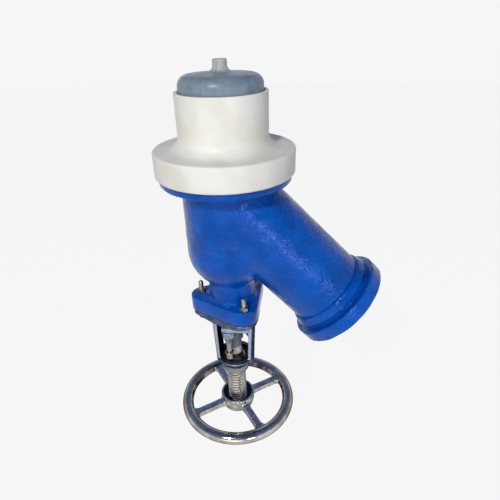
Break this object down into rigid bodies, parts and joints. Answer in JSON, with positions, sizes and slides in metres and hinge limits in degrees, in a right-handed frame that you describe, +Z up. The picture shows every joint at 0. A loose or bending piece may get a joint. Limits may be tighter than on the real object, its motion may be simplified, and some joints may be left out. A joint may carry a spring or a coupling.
{
  "type": "lined flush-bottom tank outlet valve",
  "caption": "Lined tank bottom outlet valve: straight neck under a tank nozzle, side branch at an angle, rising disc, open yoke and handwheel below.",
  "frame": {"origin": "on the plug's axis, at the plane where the white sleeve's flange meets the tank nozzle", "axes": "+Z up along the plug, stem and handwheel axis towards the tank, +X level over the side branch, +Y away from the camera"},
  "size_m": [0.2722, 0.17, 0.5025],
  "materials": {
    "blue_enamel": "glossy enamel over sand casting",
    "white_fluoropolymer": "turned, satin",
    "grey_fluoropolymer": "smooth moulded, semi-gloss",
    "cast_stainless": "blasted and lightly polished casting",
    "polished_stainless": "bright polished rim on a satin casting",
    "turned_steel": "turned, bright",
    "bronze": "turned, dull",
    "gasket": "flat sheet"
  },
  "bodies": {
    "valve_body": {"body_casting": "blue_enamel", "body_liner": "white_fluoropolymer", "nozzle_sleeve": "white_fluoropolymer", "seat_ring": "white_fluoropolymer", "stem_guide": "white_fluoropolymer", "bonnet_gasket": "gasket", "bonnet_yoke": "cast_stainless", "gland_follower": "cast_stainless", "yoke_bush": "bronze", "bush_grub_screw": "turned_steel", "packing_ring_1": "white_fluoropolymer", "packing_ring_2": "white_fluoropolymer", "packing_ring_3": "white_fluoropolymer", "packing_ring_4": "white_fluoropolymer", "gland_stud_front": "turned_steel", "gland_stud_back": "turned_steel", "gland_spacer_front": "turned_steel", "gland_spacer_back": "turned_steel", "gland_washer_front": "turned_steel", "gland_washer_back": "turned_steel", "gland_nut_front": "turned_steel", "gland_nut_back": "turned_steel", "gland_lock_nut_front": "turned_steel", "gland_lock_nut_back": "turned_steel", "bonnet_stud_left": "turned_steel", "bonnet_stud_front": "turned_steel", "bonnet_stud_back": "turned_steel", "bonnet_nut_left": "turned_steel", "bonnet_nut_front": "turned_steel", "bonnet_nut_back": "turned_steel"},
    "plug_and_stem": {"plug_disc": "grey_fluoropolymer", "plug_stem": "turned_steel"},
    "handwheel_and_screw": {"handwheel": "polished_stainless", "lead_screw": "turned_steel", "retaining_pin_left": "turned_steel", "retaining_pin_right": "turned_steel", "wheel_washer": "turned_steel", "wheel_nut": "turned_steel"}
  },
  "joints": [
    {"name": "plug_lift", "type": "slide", "parent": "valve_body", "child": "plug_and_stem", "axis": [0, 0, 1], "range_m": [0, 0.03]},
    {"name": "handwheel_turn", "type": "hinge", "parent": "plug_and_stem", "child": "handwheel_and_screw", "pos_m": [0, 0, -0.3897], "axis": [0, 0, 1], "range_deg": [0, 2160]}
  ],
  "couplings": [
    {"joint": "plug_lift", "follows": "handwheel_turn", "m_per_rad": 0.00079577}
  ]
}
